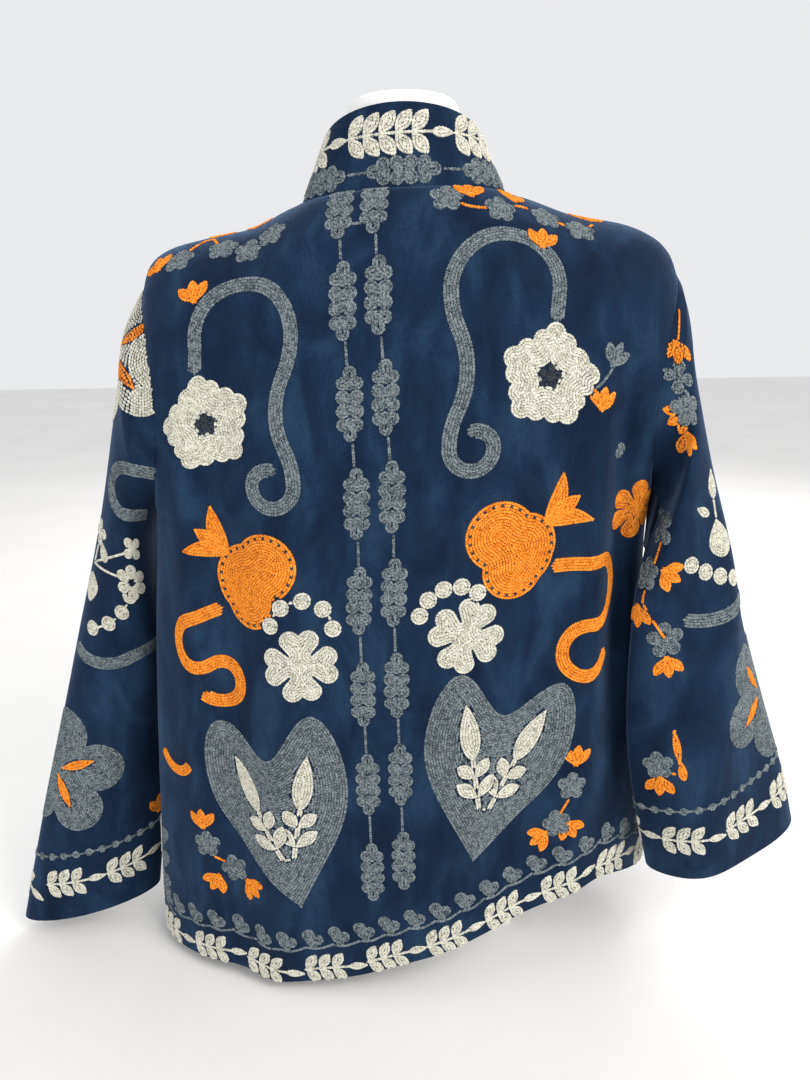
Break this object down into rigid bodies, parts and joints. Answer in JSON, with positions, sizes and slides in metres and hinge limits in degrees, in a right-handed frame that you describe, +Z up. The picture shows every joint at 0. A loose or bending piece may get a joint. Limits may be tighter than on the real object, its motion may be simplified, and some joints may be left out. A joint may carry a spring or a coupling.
{
  "type": "velvet kimono jacket on a dress form",
  "caption": "Open velvet kimono jacket with a stand collar, drop shoulders, wide straight sleeves and an uneven hem, worn by a limbless dress form.",
  "frame": {"origin": "middle of the flat base that the dress form stands on", "axes": "+Z up, +Y the way the jacket's open front faces, +X towards the wearer's right sleeve, seen on the right from behind"},
  "size_m": [0.79, 0.2522, 0.799],
  "materials": {
    "velvet": "cotton velvet with a short brushed nap",
    "form_paint": "smooth white paint"
  },
  "bodies": {
    "root": {"back_panel": "velvet", "left_front": "velvet", "right_front": "velvet", "left_sleeve": "velvet", "right_sleeve": "velvet", "stand_collar": "velvet", "dress_form": "form_paint"}
  },
  "joints": []
}
